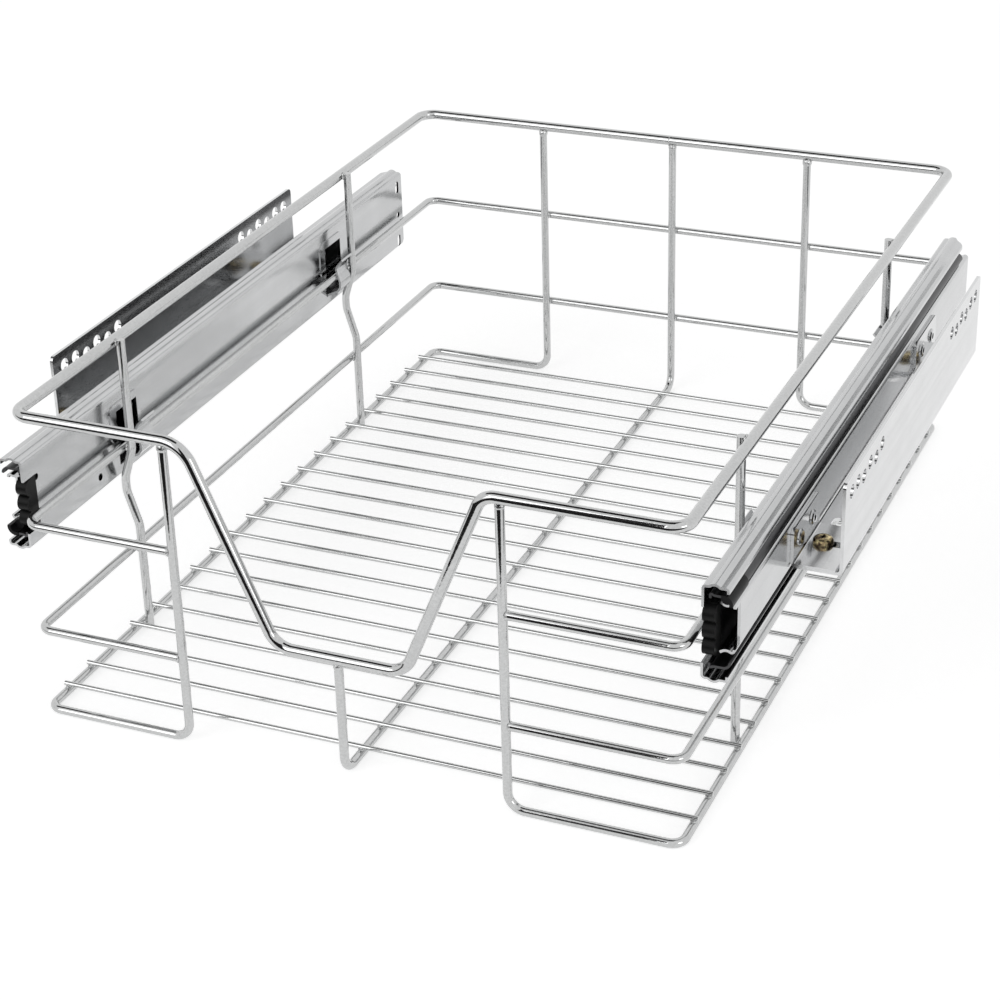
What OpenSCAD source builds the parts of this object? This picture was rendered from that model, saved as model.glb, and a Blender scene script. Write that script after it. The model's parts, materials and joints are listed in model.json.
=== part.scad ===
// Pull-out wire basket for a kitchen cabinet, on a pair of ball-bearing slides.
// Origin: centre of the footprint, on the surface the basket stands on.
// +X right, +Y to the back of the cabinet, +Z up. Millimetres.

/* [Basket] */
// Width of the basket between the centres of the rim's side wires
basket_w = 310; // [280:5:420]
// Depth of the basket between the centres of the rim's front and back wires
basket_d = 435; // [430:1:445]
// Height of the rim above the base wires, centre to centre
basket_h = 150; // [148:1:160]
// Diameter of the rim wire
rim_wire = 5.4; // [5:0.1:6]
// Diameter of the frame wires
frame_wire = 4.2; // [4:0.1:4.6]
// Diameter of the floor wires
floor_wire = 2.4; // [2.2:0.1:3]
// Number of floor wires
floor_count = 21; // [15:1:24]
// Height of the upper band above the base wires
upper_band_h = 96; // [92:1:97]
// Height of the lower band above the base wires
lower_band_h = 42; // [30:1:48]

/* [Front notch] */
// Width of the notch at the rim
notch_top_w = 138.7; // [130:0.1:150]
// Width of the notch at its bottom
notch_bottom_w = 61.8; // [50:0.1:75]
// Height of the notch's bottom wire above the base wires
notch_bottom_h = 58; // [52:1:70]
// Distance from the centre wire to each front post
post_pitch = 78; // [75:1:85]

/* [Slides] */
// Length of the drawer member and of the cabinet member
slide_length = 400; // [395:1:410]
// Height of the slides' centre above the base wires
slide_h = 100.5; // [99:0.5:101]
// Thickness of the slides' sheet steel
sheet = 1.1; // [1:0.05:1.2]
// Diameter of the bearing balls
ball_d = 4.76; // [4.5:0.01:4.8]
// Number of balls in each row
balls_per_row = 9; // [4:1:10]

/* [Mounting plates] */
// Distance from the rim's side wires to the outer face of the plates
plate_reach = 40; // [39:0.5:44]
// Length of the plates
plate_length = 246.5; // [240:0.5:260]
// Height of the plates
plate_height = 43.8; // [40:0.2:60]
// Diameter of the screw holes in the plates
plate_hole = 6.4; // [4:0.1:7]
// Thickness of the plates and of the angle brackets
plate_sheet = 1.5; // [1.2:0.1:1.8]

/* [Hidden] */
$fn = 48;

LEFT = -1;
RIGHT = 1;
chrome = [0.86, 0.87, 0.88];
zinc = [0.74, 0.75, 0.77];
black_rubber = [0.06, 0.06, 0.06];
grey_plastic = [0.2, 0.2, 0.21];
yellow_zinc = [0.72, 0.58, 0.28];

// Wires
weld_sink = 0.3;            // how far two welded wires sink into each other
bend_swell = 0.01;          // a bend is this much thicker all round, so that the straights end inside it
bend_lap = 0.2;             // length of a straight that ends inside a bend
wire_r = frame_wire / 2;    // radius of a frame wire
crossing = frame_wire - weld_sink;
centre_x = -2;              // the centre wire and the posts sit a little to the left
notch_x = -1.05;            // and so does the notch
side_x = basket_w / 2 - 0.5;
post_back_y = basket_d - 1.5;
band_back_y = post_back_y + crossing;
middle_y = (band_back_y + frame_wire / 2 - rim_wire / 2) / 2;
front_side_y = 84.75;       // the two pairs of side wires
rear_side_y = 323.5;
floor_first_y = 16.8;
floor_last_y = basket_d - 19.4;
floor_z = frame_wire / 2 + floor_wire / 2 - 0.2;
floor_half_w = side_x + 1.9;

// Slides, seen along their length: u is the distance outwards from the rim's side wires and
// w the height above the slide's centre
web_u = 4.2 + sheet / 2;
outer_ball = [9.75, 19.42];
track_r = ball_d / 2 + 0.05;
inner_ball = [13.1, outer_ball[1] - 2 * track_r - sheet];
track_line_r = track_r + sheet / 2;
cabinet_sheet = sheet + 0.1;
cabinet_track_r = track_r + cabinet_sheet / 2;
cabinet_web_u = 17 - cabinet_sheet / 2;
intermediate_web_u = web_u + 2.5;
cage_sheet = 0.5;
drawer_front_y = 8;
intermediate_front_y = 10;
intermediate_length = slide_length - 8;
cabinet_front_y = 14;
bumper_y = 19.4;            // where the intermediate web stops against the bumper
clip_length = 20;
outer_cage_y = 114;
inner_cage_y = 119;
cage_length = 188;
ball_pitch = 20;
arc_step = 9;               // degrees between the points of a rounded corner

// Mounting plates and brackets
plate_y = 90.5;
plate_z = 89.5;
plate_mid_y = plate_y + plate_length / 2;
flange_u = 18;
bracket_u = 17.05;
bracket_end_u = 37;         // short of the plate's inner bend
bracket_gap = 0.05;
bracket_z = plate_z + plate_sheet + bracket_gap;
bracket_length = 40;
bracket_height = 17;
bracket_y = 89;
slot_start_u = 22.8;
slot_end_u = 35.2;
screw_d = 5;
screw_u = slot_start_u + screw_d / 2;
screw_y = 111.5;
rivet_ys = [99, 118];
hole_pitch = 9.85;
hole_drop = 2.1;

// ---- Helpers -------------------------------------------------------------------------------

function unit(v) = v / norm(v);
function left_of(v) = [-v[1], v[0]];
function turned(v, a) = [v[0] * cos(a) - v[1] * sin(a), v[0] * sin(a) + v[1] * cos(a)];
function turn_at(a, b, c) = acos(unit(b - a) * unit(c - b));
function setback(a, b, c, r) = r * tan(turn_at(a, b, c) / 2);
function reversed(list) = [for (i = [len(list) - 1:-1:0]) list[i]];

// Basket frame: y is measured from the rim's front wire and z from the base wires
module placed() translate([0, -middle_y, frame_wire / 2 + bend_swell]) children();

// One side of the basket: x becomes the distance outwards from the rim's side wire
module on_side(side) placed() mirror([side == LEFT ? 1 : 0, 0, 0]) translate([basket_w / 2, 0, 0]) children();

// A straight length of wire
module rod(a, b, d) {
    v = b - a;
    translate(a) rotate([0, acos(v[2] / norm(v)), atan2(v[1], v[0])]) cylinder(h = norm(v), d = d);
}

// The bent part of a wire at corner b, between the straights from a and to c
module bend(a, b, c, r, d) {
    along = unit(b - a);
    axis = unit(cross(along, unit(c - b)));
    out = cross(along, axis);
    centre = b - along * setback(a, b, c, r) - out * r;
    multmatrix([[out[0], along[0], axis[0], centre[0]],
                [out[1], along[1], axis[1], centre[1]],
                [out[2], along[2], axis[2], centre[2]],
                [0, 0, 0, 1]])
        rotate_extrude(angle = turn_at(a, b, c)) translate([r, 0]) circle(d = d + 2 * bend_swell);
}

// A wire bent at each inner corner to the radius given for it
module bent_wire(corners, radii, d, closed = false) {
    count = len(corners);
    at = function(i) corners[(i + count) % count];
    bent = function(i) closed || (i > 0 && i < count - 1);
    radius = function(i) radii[(closed ? i + count : i - 1) % len(radii)];
    back = function(i) bent(i) ? setback(at(i - 1), at(i), at(i + 1), radius(i)) - bend_lap : 0;
    for (i = [0:count - (closed ? 1 : 2)]) {
        along = unit(at(i + 1) - at(i));
        rod(at(i) + along * back(i), at(i + 1) - along * back((i + 1) % count), d);
    }
    for (i = [0:count - 1]) if (bent(i)) bend(at(i - 1), at(i), at(i + 1), radius(i), d);
}

// The points of corner b rounded to radius r
function round_corner(a, b, c, r) =
    let (along = unit(b - a), turn = turn_at(a, b, c),
         side = cross(along, c - b) > 0 ? 1 : -1,
         out = -side * r * left_of(along),
         centre = b - along * r * tan(turn / 2) - out,
         steps = ceil(turn / arc_step))
    [for (i = [0:steps]) centre + turned(out, side * turn * i / steps)];

// A path of [u, w, radius] corners as points, with each inner corner rounded
function rounded(path) =
    let (p = [for (c = path) [c[0], c[1]]], last = len(p) - 1)
    [for (i = [0:last])
        each (i == 0 || i == last ? [p[i]] : round_corner(p[i - 1], p[i], p[i + 1], path[i][2]))];

function offset_points(p, d) =
    [for (i = [0:len(p) - 1])
        let (a = i == 0 ? unit(p[1] - p[0]) : unit(p[i] - p[i - 1]),
             b = i == len(p) - 1 ? a : unit(p[i + 1] - p[i]),
             m = unit(left_of(a) + left_of(b)))
        p[i] + m * d / (m * left_of(a))];

// Sheet of thickness t, folded along a path of [u, w, radius] corners
module folded(path, t) {
    p = rounded(path);
    polygon(concat(offset_points(p, t / 2), reversed(offset_points(p, -t / 2))));
}

// The same path below the slide's centre, joined to the one above it
function both_ways(path) = concat([for (c = reversed(path)) [c[0], -c[1], c[2]]], path);

// A profile drawn in u and w, extruded along the slide from y0 to y1
module along_slide(y0, y1) translate([0, y1, slide_h]) rotate([90, 0, 0]) linear_extrude(y1 - y0) children();

// A shape drawn in y and w, cut outwards through the sheet that starts at u
module through_web(u, depth) translate([u, 0, slide_h]) rotate([90, 0, 90]) linear_extrude(depth) children();

// A round-ended slot of full length, along x
module slot(length, width) {
    square([length - width, width], center = true);
    for (x = [-1, 1]) translate([x * (length - width) / 2, 0]) circle(d = width);
}

// A rectangle between two corners, rounded to radius r
module rounded_rectangle(low, high, r) {
    size = high - low;
    translate([low[0] + r, low[1]]) square([size[0] - 2 * r, size[1]]);
    translate([low[0], low[1] + r]) square([size[0], size[1] - 2 * r]);
    for (x = [low[0] + r, high[0] - r], y = [low[1] + r, high[1] - r]) translate([x, y]) circle(r = r);
}

// What is cut off a square corner at p to round it to radius r; sx and sy say which way is inwards
module corner_waste(p, r, sx, sy) translate(p) scale([sx, sy]) difference() {
    translate([-0.1, -0.1]) square(r + 0.1);
    translate([r, r]) circle(r = r);
}

// ---- Basket: one bent rim, two bands, base, centre and side wires, and the floor -------------

// Closed rim wire that dips in the notch at the front
module top_rim() color(chrome) placed() {
    w = basket_w / 2;
    top = notch_top_w / 2;
    bottom = notch_bottom_w / 2;
    bent_wire([
        [-w, 0, basket_h], [notch_x - top, 0, basket_h],
        [notch_x - bottom, 0, notch_bottom_h], [notch_x + bottom, 0, notch_bottom_h],
        [notch_x + top, 0, basket_h], [w, 0, basket_h],
        [w, basket_d, basket_h], [-w, basket_d, basket_h]
    ], [8, 15, 12, 12, 9, 8, 9, 9], rim_wire, closed = true);
}

// A band goes round the sides and the back, and its ends meet the front posts
module band_wire(z) color(chrome) placed() {
    end = post_pitch + wire_r - weld_sink;
    bent_wire([
        [centre_x - end, 0, z], [-side_x, 0, z], [-side_x, band_back_y, z],
        [side_x, band_back_y, z], [side_x, 0, z], [centre_x + end, 0, z]
    ], [6], frame_wire);
}

// A base wire runs down a front post, round one side of the base and up a back post
module base_wire(side) color(chrome) placed() {
    post_x = centre_x + side * post_pitch;
    top = basket_h - rim_wire / 2 + weld_sink;
    bent_wire([
        [post_x, 0, top], [post_x, 0, 0], [side * side_x, 0, 0],
        [side * side_x, post_back_y, 0], [post_x, post_back_y, 0], [post_x, post_back_y, top + 0.4]
    ], [8, 6, 6, 8], frame_wire);
}

// The centre wire holds up the notch and the floor's middle
module centre_wire() color(chrome) placed() {
    bent_wire([
        [centre_x, 0, notch_bottom_h - rim_wire / 2 + weld_sink], [centre_x, 0, 0],
        [centre_x, post_back_y, 0], [centre_x, post_back_y, basket_h - rim_wire / 2 + weld_sink + 0.4]
    ], [8, 8], frame_wire);
}

// Side wires join rim, bands and base; each is kinked outwards below the slide
module side_wire(side, y) color(chrome) placed() {
    x = side_x - crossing;
    kink = x + 5.2;
    bent_wire([for (c = [[x, basket_h + 1.5], [x, 95], [kink, 79], [kink, 72], [x, 54.5], [x, -1.5]])
        [side * c[0], y, c[1]]], [14], frame_wire);
}

module floor_wires() color(chrome) placed() {
    pitch = (floor_last_y - floor_first_y) / (floor_count - 1);
    for (i = [0:floor_count - 1]) {
        y = floor_first_y + i * pitch;
        rod([-floor_half_w, y, floor_z], [floor_half_w, y, floor_z], floor_wire);
    }
}

// ---- Slides --------------------------------------------------------------------------------

// Drawer member: a tall channel, open outwards, whose flanges are rolled into ball tracks
drawer_flat = 21.34;
drawer_crown = outer_ball[1] + track_line_r / cos(42);
drawer_shoulder = (drawer_crown - drawer_flat) / tan(42);
drawer_path = [
    [web_u, drawer_flat, 1.2], [outer_ball[0] - drawer_shoulder, drawer_flat, 1],
    [outer_ball[0], drawer_crown, track_line_r], [outer_ball[0] + drawer_shoulder, drawer_flat, 1],
    [15.45, drawer_flat, 1], [15.45, 19.2, 0]
];

// The hook tongue, lanced out of the web so that it wraps the upper band wire
hook_path = [
    [web_u, -18.5, 0], [web_u, -16, 1.5], [-2.5, -12.6, 2.5], [-4.15, -10, 1.5], [-4.15, -6.7, 2],
    [-2.75, -2.8, 3], [-2.15, 0.4, 2], [-3.5, 3, 2], [-6.1, 5.8, 0]
];
window_low = -16.5;
window_high = 11.5;
front_window = [87, 105.5];
rear_window = [307.5, 326];
front_hook = [93, 105];
rear_hook = [308, 320];

// Round each window the web is pressed out towards the basket
pad_front = 5.5;            // how far the pad reaches ahead of the window
pad_back = 3;
pad_low = -4;
pad_high = 15.5;
pad_r = 4;
pad_lift = 0.5;

// The bumper's seat is cut into the front edge of the web
seat_back_y = 17.5;
seat_low = -14.5;
seat_ear = [18.2, 9.9];

// The rear end: the lower flange stops short, and the web's lower corner is cut off
drawer_rear_y = drawer_front_y + slide_length;
drawer_edge = drawer_flat + sheet / 2;
rear_cut = 5;

// What is punched out of the drawer member's web, in y and w
module drawer_web_cuts() {
    for (y = [front_window, rear_window])
        translate([y[0], window_low]) square([y[1] - y[0], window_high - window_low]);
    translate([drawer_front_y - 1, seat_low])
        square([seat_back_y - drawer_front_y + 1, window_high - seat_low]);
    translate(seat_ear) circle(d = 3.2);
    translate([69, -14.5]) circle(d = 3.6);
    for (w = [14.5, -18]) translate([drawer_rear_y - 6, w]) rotate(90) slot(7.6, 4);
    translate([drawer_rear_y - 6, -2]) circle(d = 3.6);
    translate([drawer_rear_y, -drawer_edge])
        polygon([[0.1, -0.1], [0.1, 3], [-2.4, -0.1]]);
}

// The lower flange's end, and the corner of the upper one
module drawer_flange_cuts() {
    translate([web_u + sheet / 2, drawer_rear_y - rear_cut, slide_h - drawer_edge - 3])
        cube([12, rear_cut + 1, 6.4]);
    translate([0, 0, slide_h + drawer_edge - 6]) linear_extrude(10)
        polygon([[16.1, drawer_rear_y - 6], [16.1, drawer_rear_y + 1], [10.4, drawer_rear_y + 1]]);
}

// The pads round the two windows, cut or filled from u on; inset makes them smaller all round
module window_pads(u, depth, inset) through_web(u, depth) for (window = [front_window, rear_window])
    rounded_rectangle([window[0] - pad_front + inset, pad_low + inset],
                      [window[1] + pad_back - inset, pad_high - inset], pad_r - inset);

module drawer_member(side) color(zinc) on_side(side) {
    face_u = web_u - sheet / 2;
    difference() {
        union() {
            along_slide(drawer_front_y, drawer_rear_y) folded(both_ways(drawer_path), sheet);
            window_pads(face_u - pad_lift, pad_lift + 0.2, 0);
        }
        through_web(web_u - 1.5, 3) drawer_web_cuts();
        window_pads(face_u + sheet - pad_lift, 1, 1);
        drawer_flange_cuts();
    }
    for (y = [front_hook, rear_hook]) along_slide(y[0], y[1]) folded(hook_path, sheet);
}

// Intermediate member: outer balls run on top of its flanges and inner balls below them
intermediate_path = let (
    track_w = outer_ball[1] - track_line_r,
    groove_u = outer_ball[0] - track_line_r * tan(16),
    wrap = [cos(10), sin(10)],
    lip = inner_ball + track_line_r * wrap + 0.3 * [wrap[1], -wrap[0]])
[
    [intermediate_web_u, track_w + (groove_u - intermediate_web_u) * tan(32), 0.6],
    [groove_u, track_w, track_line_r],
    [inner_ball[0] + track_line_r * tan(40), track_w, track_line_r],
    [lip[0], lip[1], 0]
];

// Access slots in the intermediate web, behind the drawer member's windows when it is closed
access_slot = [36, 25];
access_ys = [(front_window[0] + front_window[1]) / 2, (rear_window[0] + rear_window[1]) / 2];

// The clip is above the slide's centre on the right and below it on the left, because the inner
// part of both slides is the same and is turned over
module at_clip(side) {
    if (side == RIGHT) children();
    else translate([0, 0, 2 * slide_h]) mirror([0, 0, 1]) children();
}

module intermediate_member(side) color(zinc) on_side(side) difference() {
    along_slide(intermediate_front_y, intermediate_front_y + intermediate_length)
        folded(both_ways(intermediate_path), sheet);
    through_web(intermediate_web_u - 2, 4) {
        translate([intermediate_front_y - 1, -15]) square([bumper_y + 0.1 - intermediate_front_y + 1, 30]);
        for (y = access_ys) translate([y, 0]) slot(access_slot[0], access_slot[1]);
    }
    at_clip(side) translate([11.9, intermediate_front_y - 1, slide_h + 10])
        cube([6, clip_length + 1.05, 10]);
}

// Ribbed rubber bumper: three lobes across its front, a core behind the drawer member's web, and
// a plug that fills the seat cut into the web
module front_bumper(side) color(black_rubber) on_side(side) {
    web_back_u = web_u + sheet / 2;
    lobe_r = 4.1;
    lobe_y = 13;
    lobes = [-8.3, -0.7, 6.9];
    low = lobes[0] - lobe_r;
    for (w = lobes) translate([web_back_u - sheet, lobe_y, slide_h + w])
        rotate([0, 90, 0]) cylinder(h = sheet + 4.3, r = lobe_r);
    translate([web_back_u, lobe_y, slide_h + low]) cube([3.9, 6, window_high - low]);
    translate([web_back_u - sheet, lobe_y, slide_h + low])
        cube([sheet + 0.5, seat_back_y - lobe_y, window_high - low]);
}

// Plastic clip that closes the outer edge of an inner ball track at the front
module race_end_clips(side) color(grey_plastic) on_side(side) at_clip(side) {
    y = intermediate_front_y - 0.5;
    along_slide(y, y + clip_length + 0.5) intersection() {
        translate(inner_ball) difference() {
            circle(r = track_r + 1.5);
            circle(r = track_r - 0.1);
        }
        translate([11.95, inner_ball[1] - 0.8]) square([6, 6]);
    }
    along_slide(y + 4, y + clip_length + 8) translate(inner_ball) circle(r = track_r - 0.08);
}

function ball_ys(cage_y) = [for (i = [0:balls_per_row - 1])
    cage_y + cage_length / 2 + (i - (balls_per_row - 1) / 2) * ball_pitch];

// A cage is a thin channel whose legs carry the balls in round holes
module ball_cage(side, cage_y, web, ball, leg_end) color(zinc) on_side(side) difference() {
    along_slide(cage_y, cage_y + cage_length)
        folded(both_ways([[web, ball[1], 1], [leg_end, ball[1], 0]]), cage_sheet);
    for (y = ball_ys(cage_y), s = [-1, 1])
        translate([ball[0], y, slide_h + s * ball[1] - 1]) cylinder(h = 2, d = ball_d + 0.1);
}

module balls(side, cage_y, ball) color(chrome) on_side(side)
    for (y = ball_ys(cage_y), s = [-1, 1])
        translate([ball[0], y, slide_h + s * ball[1]]) sphere(d = ball_d);

// The inner cage's legs end inside the lips of the intermediate member, so its pockets are open
module outer_ball_cage(side) ball_cage(side, outer_cage_y, web_u + 1.25, outer_ball, 12.8);
module inner_ball_cage(side) ball_cage(side, inner_cage_y, intermediate_web_u + 1.25, inner_ball, 14.9);
module outer_balls(side) balls(side, outer_cage_y, outer_ball);
module inner_balls(side) balls(side, inner_cage_y, inner_ball);

// Cabinet member: the low inner channel, open towards the basket
cabinet_path = let (
    groove_w = inner_ball[1] - cabinet_track_r / cos(30),
    flange_end_u = 10.3)
[
    [cabinet_web_u, groove_w + (cabinet_web_u - inner_ball[0]) * tan(30), 1.1],
    [inner_ball[0], groove_w, cabinet_track_r],
    [flange_end_u, groove_w + (inner_ball[0] - flange_end_u) * tan(30), 0]
];

module cabinet_member(side) color(zinc) on_side(side) difference() {
    along_slide(cabinet_front_y, cabinet_front_y + slide_length)
        folded(both_ways(cabinet_path), cabinet_sheet);
    through_web(cabinet_web_u - 2, 4) {
        translate([cabinet_front_y - 1, -9.5]) square([7, 19]);
        for (y = rivet_ys, at = [y, 2 * plate_mid_y - y]) translate([at, 0]) circle(d = 4.2);
    }
}

// ---- Brackets and mounting plates ------------------------------------------------------------

// Mirrors front to back about the middle of the mounting plate
module at_end(rear) translate([0, rear ? 2 * plate_mid_y : 0, 0]) mirror([0, rear ? 1 : 0, 0]) children();

// Angle bracket riveted to the cabinet member, with the slot that sets the width
module angle_bracket(side, rear) color(zinc) on_side(side) at_end(rear) difference() {
    leg_u = bracket_u + plate_sheet / 2;
    foot_z = bracket_z + plate_sheet / 2 - slide_h;
    along_slide(bracket_y, bracket_y + bracket_length) folded([
        [leg_u, foot_z + bracket_height, 0], [leg_u, foot_z, 1.6], [bracket_end_u, foot_z, 0]
    ], plate_sheet);
    translate([(slot_start_u + slot_end_u) / 2, screw_y, bracket_z - 1])
        linear_extrude(plate_sheet + 2) slot(slot_end_u - slot_start_u, screw_d + 0.3);
    through_web(bracket_u - 1, plate_sheet + 2) {
        for (y = rivet_ys) translate([y, 0]) circle(d = 4.2);
        corner_waste([bracket_y, foot_z + bracket_height], 3, 1, -1);
        corner_waste([bracket_y + bracket_length, foot_z + bracket_height], 3, -1, -1);
    }
}

// Tubular rivets that clamp the brackets to the cabinet member
module bracket_rivets(side) color(zinc) on_side(side) for (rear = [false, true], y = rivet_ys)
    at_end(rear) translate([cabinet_web_u - cabinet_sheet / 2, y, slide_h]) rotate([0, 90, 0]) {
        stack = cabinet_sheet + 0.05 + plate_sheet;
        rotate_extrude() polygon([
            [1.5, -0.7], [3.4, -0.7], [3.4, 0], [2.08, 0], [2.08, stack], [3.7, stack], [3.7, stack + 0.4],
            [3, stack + 1], [1.5, stack + 1]
        ]);
    }

// Mounting plate: an upright with two groups of screw holes, on a foot that the brackets rest on
module mounting_plate(side) color(zinc) on_side(side) difference() {
    upright_u = plate_reach - plate_sheet / 2;
    foot_z = plate_z + plate_sheet / 2 - slide_h;
    along_slide(plate_y, plate_y + plate_length) folded([
        [flange_u, foot_z, 0], [upright_u, foot_z, 2], [upright_u, plate_z + plate_height - slide_h, 0]
    ], plate_sheet);
    for (rear = [false, true]) at_end(rear) {
        through_web(upright_u - 2, 4)
            corner_waste([plate_y, plate_z + plate_height - slide_h], 2.5, 1, -1);
        for (i = [0:5])
            translate([upright_u - 2, plate_y + 9.7 + i * hole_pitch,
                       plate_z + plate_height - 7.6 - (i == 2 || i == 4 ? hole_drop : 0)])
                rotate([0, 90, 0]) cylinder(h = 4, d = plate_hole);
        for (y = [screw_y, screw_y + 23.5])
            translate([screw_u, y, plate_z - 1])
                linear_extrude(plate_sheet + 2) rotate(90) slot(8, screw_d + 0.3);
    }
}

// Pan-head screws with a cross recess, one in each bracket's slot
module adjusting_screws(side) color(yellow_zinc) on_side(side) for (rear = [false, true]) at_end(rear)
    translate([screw_u, screw_y, bracket_z + plate_sheet + bracket_gap]) difference() {
        head_r = 4.65;
        head_h = 3.2;
        dome_r = 9;
        union() {
            intersection() {
                cylinder(h = head_h, r = head_r);
                translate([0, 0, head_h - dome_r]) sphere(r = dome_r);
            }
            translate([0, 0, -12]) cylinder(h = 12.5, d = screw_d - 0.2);
        }
        for (a = [0, 90]) rotate(a) translate([-2.4, -0.55, head_h - 1.6]) cube([4.8, 1.1, 3]);
    }

// Hexagon nuts under the mounting plate's foot
module adjusting_nuts(side) color(yellow_zinc) on_side(side) for (rear = [false, true]) at_end(rear)
    translate([screw_u, screw_y, plate_z - 4]) difference() {
        cylinder(h = 4, d = 8 / cos(30), $fn = 6);
        translate([0, 0, -1]) cylinder(h = 6, d = screw_d - 0.1);
    }

// ---- Nodes ---------------------------------------------------------------------------------

top_rim();
band_wire(upper_band_h);  // upper_band_wire
band_wire(lower_band_h);  // lower_band_wire
base_wire(LEFT);  // left_base_wire
base_wire(RIGHT);  // right_base_wire
centre_wire();
floor_wires();
side_wire(LEFT, front_side_y);  // left_front_side_wire
side_wire(LEFT, rear_side_y);  // left_rear_side_wire
side_wire(RIGHT, front_side_y);  // right_front_side_wire
side_wire(RIGHT, rear_side_y);  // right_rear_side_wire
drawer_member(LEFT);  // left_drawer_member
drawer_member(RIGHT);  // right_drawer_member
front_bumper(LEFT);  // left_front_bumper
front_bumper(RIGHT);  // right_front_bumper
intermediate_member(LEFT);  // left_intermediate_member
intermediate_member(RIGHT);  // right_intermediate_member
race_end_clips(LEFT);  // left_race_end_clips
race_end_clips(RIGHT);  // right_race_end_clips
outer_ball_cage(LEFT);  // left_outer_ball_cage
outer_ball_cage(RIGHT);  // right_outer_ball_cage
outer_balls(LEFT);  // left_outer_balls
outer_balls(RIGHT);  // right_outer_balls
inner_ball_cage(LEFT);  // left_inner_ball_cage
inner_ball_cage(RIGHT);  // right_inner_ball_cage
inner_balls(LEFT);  // left_inner_balls
inner_balls(RIGHT);  // right_inner_balls
cabinet_member(LEFT);  // left_cabinet_member
cabinet_member(RIGHT);  // right_cabinet_member
angle_bracket(LEFT, false);  // left_front_bracket
angle_bracket(LEFT, true);  // left_rear_bracket
angle_bracket(RIGHT, false);  // right_front_bracket
angle_bracket(RIGHT, true);  // right_rear_bracket
bracket_rivets(LEFT);  // left_bracket_rivets
bracket_rivets(RIGHT);  // right_bracket_rivets
mounting_plate(LEFT);  // left_mounting_plate
mounting_plate(RIGHT);  // right_mounting_plate
adjusting_screws(LEFT);  // left_adjusting_screws
adjusting_screws(RIGHT);  // right_adjusting_screws
adjusting_nuts(LEFT);  // left_adjusting_nuts
adjusting_nuts(RIGHT);  // right_adjusting_nuts
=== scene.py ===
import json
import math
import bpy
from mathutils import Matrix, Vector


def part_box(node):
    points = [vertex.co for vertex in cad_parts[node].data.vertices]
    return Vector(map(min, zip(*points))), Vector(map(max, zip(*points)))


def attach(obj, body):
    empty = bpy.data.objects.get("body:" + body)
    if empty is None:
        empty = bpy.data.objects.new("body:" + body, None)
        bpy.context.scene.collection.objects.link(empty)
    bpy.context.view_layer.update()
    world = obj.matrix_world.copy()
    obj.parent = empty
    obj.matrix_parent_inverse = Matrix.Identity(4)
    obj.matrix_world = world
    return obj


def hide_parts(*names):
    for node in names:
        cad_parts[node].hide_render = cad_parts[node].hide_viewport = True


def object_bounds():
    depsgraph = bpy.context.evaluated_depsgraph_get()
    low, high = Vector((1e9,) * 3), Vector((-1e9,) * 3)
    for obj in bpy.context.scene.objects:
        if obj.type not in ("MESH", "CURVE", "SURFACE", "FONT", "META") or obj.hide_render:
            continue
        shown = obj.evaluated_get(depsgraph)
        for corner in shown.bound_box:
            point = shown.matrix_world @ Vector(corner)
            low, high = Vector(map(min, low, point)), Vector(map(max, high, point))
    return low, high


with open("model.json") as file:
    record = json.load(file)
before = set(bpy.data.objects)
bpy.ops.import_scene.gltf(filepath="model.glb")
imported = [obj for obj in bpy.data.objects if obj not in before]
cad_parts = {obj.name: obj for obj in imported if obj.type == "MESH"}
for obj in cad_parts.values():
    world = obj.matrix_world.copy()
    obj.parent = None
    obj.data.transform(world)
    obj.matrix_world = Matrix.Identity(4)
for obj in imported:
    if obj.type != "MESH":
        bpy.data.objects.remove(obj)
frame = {"nodes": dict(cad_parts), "record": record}

# The looks of a pull-out wire basket on ball-bearing slides: bent and welded chromed wires, rolled
# zinc-plated slides, stamped mounting plates, small parts, and the studio they stand in.

from types import SimpleNamespace

import bpy
from bpy.props import FloatProperty, FloatVectorProperty, IntProperty, PointerProperty
from mathutils import Vector

bl_info = {
    "name": "Pull-out basket",
    "version": (1, 0, 0),
    "blender": (4, 5, 0),
    "location": "View3D > Sidebar > Basket",
    "description": "Bends and welds the basket's wires, finishes its slides and plates, and lights it",
    "category": "Object",
}

CAD_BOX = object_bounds()
MM = 0.001
SIDES = ("left", "right")
WIRE_BODY = "basket"
BAND_WIRES = ("upper_band_wire", "lower_band_wire")
BASE_WIRES = ("left_base_wire", "right_base_wire")
SIDE_WIRES = [f"{side}_{end}_side_wire" for side in SIDES for end in ("front", "rear")]
SCREWS = {side: f"{side}_adjusting_screws" for side in SIDES}
REBUILT = {
    "top_rim", *BAND_WIRES, *BASE_WIRES, "centre_wire", "floor_wires", *SIDE_WIRES, *SCREWS.values(),
}
WHITE = (1, 1, 1, 1)
SHARP_ON_WIRE = math.radians(45)    # edges of wires and screws that turn by more stay sharp
SHARP_ON_SHEET = math.radians(32)   # and so do edges of the CAD nodes that turn by more than this
NODE_COLUMN = 190                   # where nodes stand in the node editor
NODE_ROW = 40
NODE_ROWS = 4


# ---- Settings -----------------------------------------------------------------------------------

def length(name, description, default):
    return FloatProperty(name=name, description=description, default=default, unit="LENGTH")


def lengths(name, description, default):
    return FloatVectorProperty(
        name=name, description=description, default=default, size=len(default), unit="LENGTH"
    )


def point(name, description, default):
    return FloatVectorProperty(
        name=name, description=description, default=default, subtype="TRANSLATION", unit="LENGTH"
    )


def count(name, description, default):
    return IntProperty(name=name, description=description, default=default, min=1)


def colour(name, description, default):
    return FloatVectorProperty(
        name=name, description=description, default=default, subtype="COLOR", min=0, max=1
    )


def share(name, description, default):
    return FloatProperty(name=name, description=description, default=default, subtype="FACTOR")


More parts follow.
